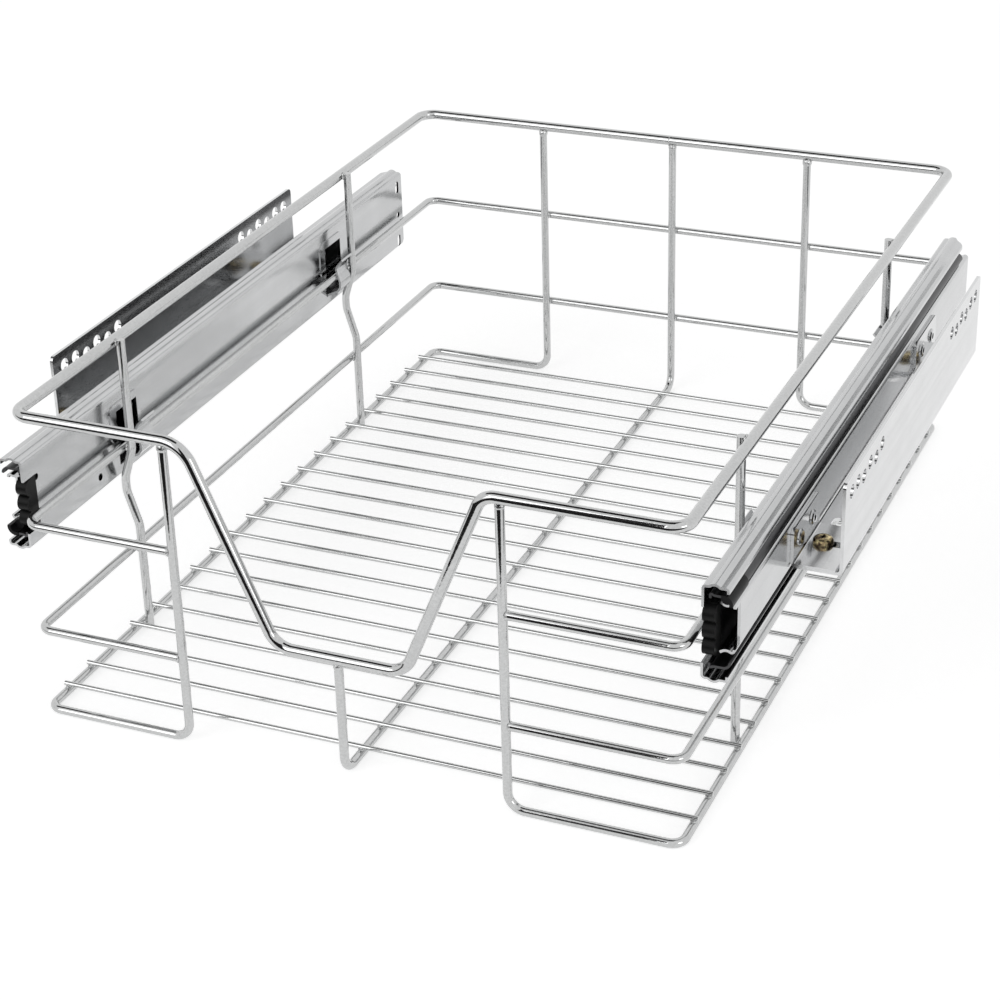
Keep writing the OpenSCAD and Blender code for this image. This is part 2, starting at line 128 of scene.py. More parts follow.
class WireSizes(bpy.types.PropertyGroup):
    """Sizes of the basket's wires, in metres"""

    rim_wire: length("Rim wire", "Diameter of the rim wire", 5.4 * MM)
    frame_wire: length("Frame wire", "Diameter of the bands, base wires and side wires", 4.2 * MM)
    floor_wire: length("Floor wire", "Diameter of the floor wires", 2.4 * MM)
    floor_count: count("Floor wires", "Number of floor wires", 21)
    notch_offset: length("Notch offset", "How far the notch sits right of the middle", -1.05 * MM)
    notch_top: length("Notch width at the rim", "Between the bends at the rim", 138.7 * MM)
    notch_bottom: length("Notch width below", "Between the bends at its bottom", 61.8 * MM)
    rim_bends: lengths(
        "Rim bends",
        "Centre-line radius of each bend of the rim, from the left front corner round",
        [radius * MM for radius in (8, 15, 12, 12, 9, 8, 9, 9)],
    )
    band_bend: length("Band bends", "Centre-line radius of the bands' corners", 6 * MM)
    post_bend: length("Post bends", "Centre-line radius at the foot of the posts", 8 * MM)
    kink_bend: length("Kink bends", "Centre-line radius of the side wires' kinks", 14 * MM)
    kink_heights: lengths(
        "Kink heights",
        "Heights of the side wires' four bends above the base wires",
        [height * MM for height in (95, 79, 72, 54.5)],
    )
    band_reach: share("Band reach", "From a front post to a band's end, in radii of the band", 0.86)
    centre_reach: share("Centre wire reach", "From the rim to its end, in radii of the rim wire", 0.6)
    round_steps: count("Steps round a wire", "Faces round a frame wire", 28)
    floor_steps: count("Steps round a floor wire", "Faces round a floor wire", 16)
    bend_steps: count("Steps in a bend", "Rings in a bend", 14)


class WeldSizes(bpy.types.PropertyGroup):
    """Half sizes of the weld beads, in metres or as shares of the frame wire's radius"""

    collar: share("Collar", "Half width of the bead round the top of an upright", 1.14)
    collar_height: length("Collar height", "Half height of that bead", 2.6 * MM)
    collar_drop: length("Collar drop", "From the rim wire down to the middle of that bead", 0.7 * MM)
    crossing: share("Crossing", "Half width of the bead where two frame wires cross", 1.1)
    crossing_depth: length("Crossing depth", "Half of that bead's depth, from wire to wire", 1.1 * MM)
    base_crossing: share("Base crossing", "Half height of the bead at the foot of a side wire", 0.85)
    band_end: share("Band end", "From a front post's middle to the bead at a band's end", 0.95)
    floor_width: share("Floor bead width", "Half width of the bead under a floor wire", 0.75)
    floor_length: share("Floor bead length", "Half length of the bead under a floor wire", 0.85)
    floor_depth: length("Floor bead depth", "Half depth of the bead under a floor wire", 0.55 * MM)
    seam_offset: length("Seam offset", "From the centre wire left to the rim's butt weld", 2 * MM)
    seam_width: length("Seam width", "Half width of the rim's butt weld", 0.8 * MM)
    seam_inset: length("Seam inset", "How far in and down from the rim the butt weld sits", 0.35 * MM)


class ScrewSizes(bpy.types.PropertyGroup):
    """Sizes of the adjusting screws, in metres"""

    head_radius: length("Head radius", "Radius of the pan head", 4.65 * MM)
    head_height: length("Head height", "Height of the pan head", 3.1 * MM)
    squareness: share("Squareness", "1 for half a ball, and less for a fuller and flatter head", 0.56)
    recess_radius: length("Recess radius", "Reach of the cross recess where it is widest", 2.9 * MM)
    recess_foot: length("Recess foot", "Reach of the cross recess at its bottom", 0.9 * MM)
    recess_depth: length("Recess depth", "Depth of the cross recess", 1.7 * MM)
    shank_radius: length("Shank radius", "Radius of the shank below its thread", 2.3 * MM)
    shank_length: length("Shank length", "Length of the shank", 12 * MM)
    thread_start: length("Thread start", "From the screw's end to where its thread starts", 0.4 * MM)
    thread_length: length("Thread length", "Length of the thread", 11 * MM)
    pitch: length("Pitch", "Pitch of the thread", 0.8 * MM)
    ridge: length("Ridge", "Half width of the thread's ridge", 0.34 * MM)


class Finish(bpy.types.PropertyGroup):
    """Colours and roughness of the finishes"""

    chrome: colour("Chrome", "Bright chrome plate", (0.585, 0.59, 0.59))
    slide_zinc: colour("Slide zinc", "Bright zinc on the slides", (0.58, 0.585, 0.59))
    plate_zinc: colour("Plate zinc", "Bright zinc on the plates", (0.67, 0.675, 0.68))
    # Painted shade: the intermediate members get a near-black steel, partly for their oil and partly to
    # paint the shade inside the slides.
    oiled_steel: colour("Oiled steel", "Dark oiled steel inside the slides", (0.09, 0.09, 0.093))
    # Painted shade: the ball cages are darkened too, partly for oil and partly to paint the shade
    # inside the slides.
    cage_zinc: colour("Cage steel", "Oiled steel of the ball cages", (0.11, 0.11, 0.113))
    ball: colour("Ball steel", "Polished bearing steel", (0.7, 0.7, 0.71))
    yellow_zinc: colour("Yellow zinc", "Yellow passivated zinc", (0.72, 0.58, 0.32))
    yellow_blush: colour("Yellow zinc blush", "The film where it is darkest", (0.06, 0.02, 0.018))
    yellow_green: colour("Yellow zinc green", "The film where it is greenest", (0.30, 0.36, 0.20))
    rubber: colour("Rubber", "Black moulded rubber", (0.006, 0.006, 0.006))
    plastic: colour("Plastic", "Dark grey moulded plastic", (0.011, 0.011, 0.0115))
    chrome_roughness: share("Chrome roughness", "Roughness of the chrome at its clearest", 0.05)
    zinc_roughness: share("Zinc roughness", "Roughness of the zinc at its clearest", 0.1)


class Studio(bpy.types.PropertyGroup):
    """Camera, floor and lamps, and the dark cards that bright metal mirrors"""

    camera_place: point("Camera place", "Where the camera stands", (0.423897, -1.011788, 0.599029))
    camera_turn: FloatVectorProperty(
        name="Camera turn",
        description="How the camera is turned",
        default=[math.radians(angle) for angle in (62.6567, 1.4708, 22.8973)],
        subtype="EULER",
    )
    camera_lens: FloatProperty(
        name="Lens", description="Focal length in millimetres", default=87.3004, unit="CAMERA"
    )
    floor_size: length("Floor size", "Width and depth of the floor", 12)
    floor_drop: length("Floor drop", "How far the floor lies below the basket", 0.2 * MM)
    floor_tone: share("Floor tone", "How pale the floor is", 0.8)
    floor_glow: share("Floor glow", "What the floor adds where it is seen or mirrored", 0.57)
    sky: share("Sky", "Strength of the room's light", 0.5)
    lamp_power: FloatProperty(
        name="Lamp power", description="Power of the soft front lamp", default=24, unit="POWER"
    )
    lamp_aim: point("Lamp aim", "Where both lamps point", (0, 0, 0.1))
    front_lamp_place: point("Front lamp place", "Where the front lamp hangs", (-1.3, -3.1, 1.7))
    front_lamp_size: lengths("Front lamp size", "Its width and height", (2.1, 2.3))
    side_lamp_place: point("Side lamp place", "Where the side lamp hangs", (2.6, -1.2, 0.9))
    side_lamp_size: lengths("Side lamp size", "Its width and height", (1.1, 1.0))
    side_lamp_share: share("Side lamp share", "Its power as a share of the front lamp's", 0.3)
    card_tone: share("Card tone", "Grey of the cards", 0.02)
    front_card_gap: length("Front card gap", "How far the front card lies before the basket", 0.2)
    front_card_lift: length("Front card lift", "How far the front card lies above the floor", 1 * MM)
    top_card_place: point("Top card place", "Where its middle hangs", (-0.75, 0.05, 2.0))
    top_card_size: lengths("Top card size", "Its width and depth", (2.4, 1.3))
    upright_card_foot: point("Upright card foot", "Where its right edge starts", (0.08, -0.5, 0.03))
    upright_card_size: lengths("Upright card size", "Its width and greatest height", (0.22, 0.47))


# ---- Node trees ---------------------------------------------------------------------------------

def add(tree, kind, values=None, **settings):
    """Adds a node with its settings. values gives each input a value or joins it to an output."""
    made = tree.nodes.new(kind)
    step = len(tree.nodes)
    made.location = (NODE_COLUMN * step, -NODE_ROW * (step % NODE_ROWS))
    for name, value in settings.items():
        setattr(made, name, value)
    for key, value in (values or {}).items():
        if isinstance(value, bpy.types.NodeSocket):
            tree.links.new(value, made.inputs[key])
        else:
            made.inputs[key].default_value = value
    return made


def math_node(tree, operation, first, second):
    return add(tree, "ShaderNodeMath", {0: first, 1: second}, operation=operation).outputs[0]


def vector_node(tree, operation, first, second):
    return add(tree, "ShaderNodeVectorMath", {0: first, 1: second}, operation=operation).outputs[0]


def times(tree, first, second):
    return math_node(tree, "MULTIPLY", first, second)


def scaled(tree, vector, factor):
    return add(tree, "ShaderNodeVectorMath", {0: vector, 3: factor}, operation="SCALE").outputs[0]


def sockets(tree, direction, wanted):
    """Adds sockets, each given by its name, its kind and, where it has one, its default."""
    for name, kind, *default in wanted:
        made = tree.interface.new_socket(name, in_out=direction, socket_type="NodeSocket" + kind)
        if default:
            made.default_value = default[0]


def geometry_tree(name, inputs):
    """A geometry tree with the named inputs; gives the tree and its inputs."""
    tree = bpy.data.node_groups.new(name, "GeometryNodeTree")
    sockets(tree, "INPUT", [("Geometry", "Geometry"), *inputs])
    sockets(tree, "OUTPUT", [("Geometry", "Geometry")])
    return tree, add(tree, "NodeGroupInput").outputs


def shaded(tree, shape, angle):
    """Smooth faces, with the edges that turn by more than the angle kept sharp."""
    turn = add(tree, "GeometryNodeInputMeshEdgeAngle").outputs[0]
    sharp = add(tree, "FunctionNodeCompare", {0: turn, 1: angle}, operation="GREATER_THAN")
    faces = add(tree, "GeometryNodeSetShadeSmooth", {"Geometry": shape, "Shade Smooth": True})
    return add(tree, "GeometryNodeSetShadeSmooth", {
        "Geometry": faces.outputs[0], "Selection": sharp.outputs[0], "Shade Smooth": False,
    }, domain="EDGE").outputs[0]


def on_points(tree, given, shape, **more):
    """The shape on each point of the tree's geometry."""
    return add(tree, "GeometryNodeInstanceOnPoints", {
        "Points": given["Geometry"], "Instance": shape, **more,
    }).outputs[0]


def finish_tree(tree, given, shape):
    """Ends a geometry tree: real meshes, smooth faces with sharp ends, and the material."""
    real = add(tree, "GeometryNodeRealizeInstances", {"Geometry": shape}).outputs[0]
    smooth = shaded(tree, real, SHARP_ON_WIRE)
    painted = add(tree, "GeometryNodeSetMaterial", {"Geometry": smooth, "Material": given["Material"]})
    add(tree, "NodeGroupOutput", {0: painted.outputs[0]})
    return tree


def bent_wire_tree():
    """Rounds the corners of a path by its bend attribute and gives it a round section."""
    tree, given = geometry_tree("Bent wire", [
        ("Diameter", "Float"), ("Round Steps", "Int"), ("Bend Steps", "Int"), ("Material", "Material"),
    ])
    path = add(tree, "GeometryNodeMeshToCurve", {"Mesh": given["Geometry"]}).outputs[0]
    radius = add(tree, "GeometryNodeInputNamedAttribute", {"Name": "bend"}, data_type="FLOAT")
    rounded = add(tree, "GeometryNodeFilletCurve", {
        "Curve": path, "Count": given["Bend Steps"], "Radius": radius.outputs[0],
        "Limit Radius": False,
    }, mode="POLY").outputs[0]
    half = times(tree, given["Diameter"], 0.5)
    section = add(tree, "GeometryNodeCurvePrimitiveCircle", {
        "Resolution": given["Round Steps"], "Radius": half,
    }).outputs[0]
    wire = add(tree, "GeometryNodeCurveToMesh", {
        "Curve": rounded, "Profile Curve": section, "Fill Caps": True,
    }).outputs[0]
    return finish_tree(tree, given, wire)


def wire_row_tree():
    """A row of straight wires, one at each point."""
    tree, given = geometry_tree("Wire row", [
        ("Diameter", "Float"), ("Length", "Float"), ("Round Steps", "Int"), ("Material", "Material"),
    ])
    half = times(tree, given["Diameter"], 0.5)
    rod = add(tree, "GeometryNodeMeshCylinder", {
        "Vertices": given["Round Steps"], "Side Segments": 1, "Radius": half,
        "Depth": given["Length"],
    }).outputs[0]
    laid = add(tree, "GeometryNodeTransform", {"Geometry": rod, "Rotation": (0, math.pi / 2, 0)})
    return finish_tree(tree, given, on_points(tree, given, laid.outputs[0]))


def bead_tree():
    """An uneven weld bead at each point, as large as the point's half_size attribute."""
    tree, given = geometry_tree("Weld beads", [
        ("Unevenness", "Float", 0.2 * MM), ("Grain", "Float", 900.0), ("Seed", "Int", 3),
        ("Material", "Material"),
    ])
    smallest, largest = 0.9, 1.1
    ball = add(tree, "GeometryNodeMeshIcoSphere", {"Radius": 1.0, "Subdivisions": 3}).outputs[0]
    size = add(tree, "GeometryNodeInputNamedAttribute", {"Name": "half_size"}, data_type="FLOAT_VECTOR")
    spread = add(tree, "FunctionNodeRandomValue", {2: smallest, 3: largest, "Seed": given["Seed"]})
    scale = scaled(tree, size.outputs[0], spread.outputs[1])
    beads = on_points(tree, given, ball, Scale=scale)
    real = add(tree, "GeometryNodeRealizeInstances", {"Geometry": beads}).outputs[0]
    place = add(tree, "GeometryNodeInputPosition").outputs[0]
    grain = add(tree, "ShaderNodeTexNoise", {"Vector": place, "Scale": given["Grain"], "Detail": 1.0})
    lift = math_node(tree, "SUBTRACT", grain.outputs[0], 0.5)
    lift = times(tree, lift, given["Unevenness"])
    normal = add(tree, "GeometryNodeInputNormal").outputs[0]
    push = scaled(tree, normal, lift)
    uneven = add(tree, "GeometryNodeSetPosition", {"Geometry": real, "Offset": push}).outputs[0]
    return finish_tree(tree, given, uneven)


def pan_screw_tree():
    """A pan-head screw at each point: a round head with a tapered cross recess, and its shank."""
    tree, given = geometry_tree("Pan screw", [
        ("Head Radius", "Float"), ("Head Height", "Float"), ("Squareness", "Float"),
        ("Recess Radius", "Float"), ("Recess Foot", "Float"), ("Recess Depth", "Float"),
        ("Shank Radius", "Float"), ("Shank Length", "Float"), ("Material", "Material"),
    ])
    head_sides, head_rings, shank_sides = 48, 32, 32
    wing_width = 0.26     # of a wing of the cross, as a share of its length
    cutter_height = 1.3   # in depths of the recess, so that the cutter stands proud of the head
    buried = 0.02         # share of the shank that is inside the head
    off_axis = 0.001      # keeps the power of the distance finite at the top of the head

    ball = add(tree, "GeometryNodeMeshUVSphere", {
        "Segments": head_sides, "Rings": head_rings, "Radius": 1.0,
    }).outputs[0]
    place = add(tree, "GeometryNodeInputPosition").outputs[0]
    x, y, z = add(tree, "ShaderNodeSeparateXYZ", {0: place}).outputs[:3]
    flat = add(tree, "ShaderNodeCombineXYZ", {0: x, 1: y}).outputs[0]
    across = add(tree, "ShaderNodeVectorMath", {0: flat}, operation="LENGTH").outputs["Value"]
    across = math_node(tree, "MAXIMUM", across, off_axis)
    fuller = math_node(tree, "SUBTRACT", given["Squareness"], 1.0)
    reach = times(tree, math_node(tree, "POWER", across, fuller), given["Head Radius"])
    rise = math_node(tree, "POWER", math_node(tree, "MAXIMUM", z, 0.0), given["Squareness"])
    domed = add(tree, "ShaderNodeCombineXYZ", {
        0: times(tree, x, reach), 1: times(tree, y, reach),
        2: times(tree, rise, given["Head Height"]),
    }).outputs[0]
    head = add(tree, "GeometryNodeSetPosition", {"Geometry": ball, "Position": domed}).outputs[0]

    wing = add(tree, "GeometryNodeMeshCone", {
        "Vertices": 4, "Radius Top": given["Recess Radius"], "Radius Bottom": given["Recess Foot"],
        "Depth": times(tree, given["Recess Depth"], cutter_height),
    }).outputs[0]
    foot = math_node(tree, "SUBTRACT", given["Head Height"], given["Recess Depth"])
    foot = add(tree, "ShaderNodeCombineXYZ", {2: foot}).outputs[0]
    for turn in (0, math.pi / 2):
        cutter = add(tree, "GeometryNodeTransform", {
            "Geometry": wing, "Translation": foot, "Rotation": (0, 0, turn),
            "Scale": (1, wing_width, 1),
        }).outputs[0]
        head = add(tree, "GeometryNodeMeshBoolean", {
            "Mesh 1": head, "Mesh 2": cutter,
        }, operation="DIFFERENCE", solver="EXACT").outputs[0]

    rod = add(tree, "GeometryNodeMeshCylinder", {
        "Vertices": shank_sides, "Radius": given["Shank Radius"], "Depth": given["Shank Length"],
    }).outputs[0]
    drop = times(tree, given["Shank Length"], buried - 0.5)
    drop = add(tree, "ShaderNodeCombineXYZ", {2: drop}).outputs[0]
    rod = add(tree, "GeometryNodeTransform", {"Geometry": rod, "Translation": drop}).outputs[0]
    screw = add(tree, "GeometryNodeJoinGeometry", {0: head})
    tree.links.new(rod, screw.inputs[0])
    return finish_tree(tree, given, on_points(tree, given, screw.outputs[0]))


def thread_tree():
    """A screw thread above each point: a helical ridge on the shank."""
    tree, given = geometry_tree("Screw thread", [
        ("Shank Radius", "Float"), ("Pitch", "Float"), ("Thread Length", "Float"),
        ("Ridge", "Float"), ("Material", "Material"),
    ])
    steps_in_turn, ridge_sides = 20, 4
    radius = given["Shank Radius"]
    turns = math_node(tree, "DIVIDE", given["Thread Length"], given["Pitch"])
    helix = add(tree, "GeometryNodeCurveSpiral", {
        "Resolution": steps_in_turn, "Rotations": turns, "Start Radius": radius,
        "End Radius": radius, "Height": given["Thread Length"],
    }).outputs[0]
    ridge = add(tree, "GeometryNodeCurvePrimitiveCircle", {
        "Resolution": ridge_sides, "Radius": given["Ridge"],
    }).outputs[0]
    thread = add(tree, "GeometryNodeCurveToMesh", {
        "Curve": helix, "Profile Curve": ridge, "Fill Caps": True,
    }).outputs[0]
    return finish_tree(tree, given, on_points(tree, given, thread))


def clean_shading_tree():
    """Joins loose triangles and shades them smooth, apart from the edges that are sharp."""
    tree, given = geometry_tree("Clean shading", [
        ("Join Distance", "Float", 1e-6), ("Sharp Angle", "Float", SHARP_ON_SHEET),
    ])
    joined = add(tree, "GeometryNodeMergeByDistance", {
        "Geometry": given["Geometry"], "Distance": given["Join Distance"],
    }).outputs[0]
    add(tree, "NodeGroupOutput", {0: shaded(tree, joined, given["Sharp Angle"])})
    return tree


def tree_of(make):
    """The tree that a function makes, made only once."""
    known = bpy.data.node_groups.get(make.__name__)
    if known is None:
        known = make()
        known.name = make.__name__
    return known


def set_inputs(modifier, values):
    """Sets a modifier's inputs, each by the name of its socket."""
    for item in modifier.node_group.interface.items_tree:
        if item.item_type == "SOCKET" and item.in_out == "INPUT" and item.name in values:
            modifier[item.identifier] = values[item.name]


def placed(name, data):
    """A new object of the scene, with its data."""
    made = bpy.data.objects.new(name, data)
    bpy.context.scene.collection.objects.link(made)
    return made


def grown(name, source, tree, **values):
    """The plain mesh that a geometry tree makes of a source mesh, as an object at the origin."""
    carrier = placed(name + "_path", source)
    modifier = carrier.modifiers.new(tree.name, "NODES")
    modifier.node_group = tree
    set_inputs(modifier, {key.replace("_", " ").title(): value for key, value in values.items()})
    graph = bpy.context.evaluated_depsgraph_get()
    mesh = bpy.data.meshes.new_from_object(carrier.evaluated_get(graph))
    if not mesh.polygons:
        raise RuntimeError(f"the tree {tree.name} made no faces for {name}")
    bpy.data.objects.remove(carrier)
    mesh.name = name
    return placed(name, mesh)


# ---- Shader groups ------------------------------------------------------------------------------

def shader_group(name, inputs, output):
    """A shader group with the named inputs and one output; gives the group and its inputs."""
    tree = bpy.data.node_groups.new(name, "ShaderNodeTree")
    sockets(tree, "INPUT", inputs)
    sockets(tree, "OUTPUT", [(output, "Float")])
    return tree, add(tree, "NodeGroupInput").outputs


def line_size(tree, given):
    """The size of one line of a pattern that runs along Y."""
    return add(tree, "ShaderNodeCombineXYZ", {
        0: given["Width"], 1: given["Length"], 2: given["Width"],
    }).outputs[0]


def drawn_lines():
    """Fine lines along Y, as rolling and drawing leave them in sheet and wire."""
    tree, given = shader_group("drawn_lines", [
        ("Vector", "Vector"), ("Width", "Float", 0.4 * MM), ("Length", "Float", 60 * MM),
        ("Shift", "Float", 0.0),
    ], "Height")
    drawn = vector_node(tree, "DIVIDE", given["Vector"], line_size(tree, given))
    moved = vector_node(tree, "ADD", drawn, given["Shift"])
    noise = add(tree, "ShaderNodeTexNoise", {"Vector": moved, "Scale": 1.0, "Detail": 3.0})
    add(tree, "NodeGroupOutput", {0: noise.outputs[0]})
    return tree


def uneven_film():
    """Soft patches between two values, for a film, a smudge or a colour that is never quite even."""
    tree, given = shader_group("uneven_film", [
        ("Vector", "Vector"), ("Size", "Float", 20 * MM), ("Low", "Float", 0.0),
        ("High", "Float", 1.0), ("Shift", "Float", 0.0),
    ], "Value")
    patches_in_metre = math_node(tree, "DIVIDE", 1.0, given["Size"])
    moved = vector_node(tree, "ADD", given["Vector"], given["Shift"])
    noise = add(tree, "ShaderNodeTexNoise", {
        "Vector": moved, "Scale": patches_in_metre, "Detail": 4.0, "Roughness": 0.55,
    })
    value = add(tree, "ShaderNodeMapRange", {
        "Value": noise.outputs[0], "From Min": 0.3, "From Max": 0.7,
        "To Min": given["Low"], "To Max": given["High"],
    })
    add(tree, "NodeGroupOutput", {0: value.outputs[0]})
    return tree


def hairline_marks():
    """Sparse fine scratches from handling, in two directions."""
    tree, given = shader_group("hairline_marks", [
        ("Vector", "Vector"), ("Width", "Float", 0.35 * MM), ("Length", "Float", 14 * MM),
        ("Rarity", "Float", 0.68),
    ], "Mask")
    size = line_size(tree, given)
    masks = []
    for degrees in (25, -50):
        turn = math.radians(degrees)
        turned = add(tree, "ShaderNodeMapping", {
            "Vector": given["Vector"], "Rotation": (turn, 0, turn),
        })
        drawn = vector_node(tree, "DIVIDE", turned.outputs[0], size)
        noise = add(tree, "ShaderNodeTexNoise", {"Vector": drawn, "Scale": 1.0, "Detail": 1.0})
        masks.append(math_node(tree, "GREATER_THAN", noise.outputs[0], given["Rarity"]))
    add(tree, "NodeGroupOutput", {0: math_node(tree, "MAXIMUM", *masks)})
    return tree


def effect(tree, make, place, **values):
    """Lays a shader group over a material and gives its output."""
    group = bpy.data.node_groups.get(make.__name__) or make()
    inputs = {key.title(): value for key, value in values.items()}
    return add(tree, "ShaderNodeGroup", {"Vector": place, **inputs}, node_tree=group).outputs[0]


# ---- Materials ----------------------------------------------------------------------------------

def opaque(colour, strength=1.0):
    """A node's colour value: the colour, lighter or darker, and an alpha of 1."""
    return (*[strength * channel for channel in colour], 1)


def bare_tree(owner):
    """The emptied node tree of a material or a world."""
    owner.use_nodes = True
    owner.node_tree.nodes.clear()
    return owner.node_tree


def blank(name, **fixed):
    """A new material with one Principled shader; fixed gives its plain values."""
    material = bpy.data.materials.new(name)
    tree = bare_tree(material)
    shader = add(tree, "ShaderNodeBsdfPrincipled", fixed)
    add(tree, "ShaderNodeOutputMaterial", {0: shader.outputs[0]})
    place = add(tree, "ShaderNodeTexCoord").outputs["Object"]
    return material, tree, shader, place


def coat(tree, shader, tone, rough, height, depth):
    """Gives a shader its colour and roughness, and relief of a depth from a height."""
    relief = add(tree, "ShaderNodeBump", {"Height": height, "Distance": depth, "Strength": 1.0})
    tree.links.new(tone, shader.inputs["Base Color"])
    tree.links.new(rough, shader.inputs["Roughness"])
    tree.links.new(relief.outputs[0], shader.inputs["Normal"])


def mixed(tree, factor, first, second):
    """A colour between two colours."""
    return add(tree, "ShaderNodeMix", {0: factor, 6: first, 7: second}, data_type="RGBA").outputs[2]


def rolled_zinc(name, colour, roughness, line_depth=0.003 * MM, mark_rarity=0.7):
    """Bright zinc over rolled sheet: lines along the sheet, cloudy film and a few scratches."""
    light, dark, cloudy, scratched = 1.08, 0.84, 0.8, 1.2
    film_tint, mark_tint = 0.35, 0.4
    film_haze, line_haze = 0.05, 0.08
    material, tree, shader, place = blank(name, Metallic=1.0)
    bands = effect(tree, drawn_lines, place, width=4 * MM, length=0.5)
    lines = effect(tree, drawn_lines, place, width=0.35 * MM, length=50 * MM, shift=7.0)
    film = effect(tree, uneven_film, place, size=24 * MM)
    marks = effect(tree, hairline_marks, place, rarity=mark_rarity)
    tone = mixed(tree, bands, opaque(colour, light), opaque(colour, dark))
    tone = mixed(tree, times(tree, film, film_tint), tone, opaque(colour, cloudy))
    tone = mixed(tree, times(tree, marks, mark_tint), tone, opaque(colour, scratched))
    rough = times(tree, film, film_haze)
    rough = math_node(tree, "ADD", rough, times(tree, lines, line_haze))
    rough = math_node(tree, "ADD", rough, roughness)
    coat(tree, shader, tone, rough, lines, line_depth)
    return material


def chrome_plate(name, colour, roughness, wave=0.012 * MM, wave_size=2.4 * MM):
    """Bright chrome over drawn wire: nearly a mirror, with a slow wave and a fine grain."""
    clear, hazy, grainy = 1.03, 0.96, 0.84
    rougher = 2.2
    material, tree, shader, place = blank(name, Metallic=1.0)
    rough = effect(tree, uneven_film, place, size=18 * MM, low=roughness, high=roughness * rougher)
    height = effect(tree, uneven_film, place, size=wave_size, shift=3.0)
    haze = effect(tree, uneven_film, place, size=40 * MM, shift=9.0)
    grain = effect(tree, uneven_film, place, size=1.1 * MM, shift=4.0)
    tone = mixed(tree, haze, opaque(colour, clear), opaque(colour, hazy))
    tone = mixed(tree, grain, tone, opaque(colour, grainy))
    coat(tree, shader, tone, rough, height, wave)
    return material


def passivated_zinc(name, colour, blush, green, roughness):
    """Yellow passivated zinc: the film's colour drifts between gold, dark pink and green."""
    green_tint, grain_haze, dent_depth = 0.25, 0.16, 0.05 * MM
    material, tree, shader, place = blank(name, Metallic=1.0)
    drift = effect(tree, uneven_film, place, size=2.6 * MM, low=-0.3, high=1.7)
    cool = effect(tree, uneven_film, place, size=2.2 * MM, shift=5.0)
    tone = mixed(tree, drift, opaque(colour), opaque(blush))
    tone = mixed(tree, times(tree, cool, green_tint), tone, opaque(green))
    grain = effect(tree, drawn_lines, place, width=0.5 * MM, length=0.8 * MM)
    rough = math_node(tree, "ADD", times(tree, grain, grain_haze), roughness)
    dents = effect(tree, uneven_film, place, size=1.5 * MM, shift=8.0)
    coat(tree, shader, tone, rough, dents, dent_depth)
    return material


def moulded(name, colour, roughness, grain_size, grain_depth=0.01 * MM):
    """Moulded rubber or plastic: fine grain, and a film of dust that greys it unevenly."""
    dusty, dust_haze = 1.7, 0.16
    material, tree, shader, place = blank(name, Metallic=0.0, **{"Specular IOR Level": 0.12})
    grain = effect(tree, uneven_film, place, size=grain_size)
    dust = effect(tree, uneven_film, place, size=6 * MM, shift=2.0)
    rough = math_node(tree, "ADD", times(tree, dust, dust_haze), roughness)
    tone = mixed(tree, dust, opaque(colour), opaque(colour, dusty))
    coat(tree, shader, tone, rough, grain, grain_depth)
    return material


def material_of(context, slot):
    """The finish for a slot, made on first use. The frame's own materials bear the slots' names."""
    name = slot + "_finish"
    known = bpy.data.materials.get(name)
    if known:
        return known
    finish = context.scene.basket_finish
    makers = {
        "chrome_wire": lambda: chrome_plate(name, finish.chrome, finish.chrome_roughness),
        "weld_chrome": lambda: chrome_plate(
            name, finish.chrome, roughness=0.06, wave=0.07 * MM, wave_size=0.8 * MM),
        "slide_steel": lambda: rolled_zinc(name, finish.slide_zinc, finish.zinc_roughness),
        "plate_steel": lambda: rolled_zinc(
            name, finish.plate_zinc, roughness=0.09, line_depth=0.0015 * MM, mark_rarity=0.66),
        # These two dark finishes are partly oil and partly painted shade of the slides' insides.
        "oiled_steel": lambda: rolled_zinc(name, finish.oiled_steel, roughness=0.24),
        "cage_steel": lambda: rolled_zinc(name, finish.cage_zinc, roughness=0.28),
        "ball_steel": lambda: chrome_plate(name, finish.ball, roughness=0.04, wave=0.001 * MM),
        "yellow_zinc": lambda: passivated_zinc(
            name, finish.yellow_zinc, finish.yellow_blush, finish.yellow_green, roughness=0.06),
        "rubber": lambda: moulded(name, finish.rubber, roughness=0.3, grain_size=0.3 * MM),
        "grey_plastic": lambda: moulded(name, finish.plastic, roughness=0.28, grain_size=0.5 * MM),
    }
    return makers[slot]()


def dress_node(context, node):
    """Gives a CAD node its finish and a clean shading that leaves its mesh alone."""
    slots = {part["node"]: part["material_slot"] for part in frame["record"]["subparts"]}
    # The intermediate members' near-black steel is partly oil and partly painted shade of the slides'
    # insides.
    finish = "oiled_steel" if node.endswith("intermediate_member") else slots[node]
    shown = frame["nodes"][node]
    if not shown.material_slots:
        raise RuntimeError(f"{node} has no material slot")
    for slot in shown.material_slots:
        slot.link = "OBJECT"
        slot.material = material_of(context, finish)
    modifier = shown.modifiers.new("Clean shading", "NODES")
    modifier.node_group = tree_of(clean_shading_tree)


# ---- Where the wires run ------------------------------------------------------------------------

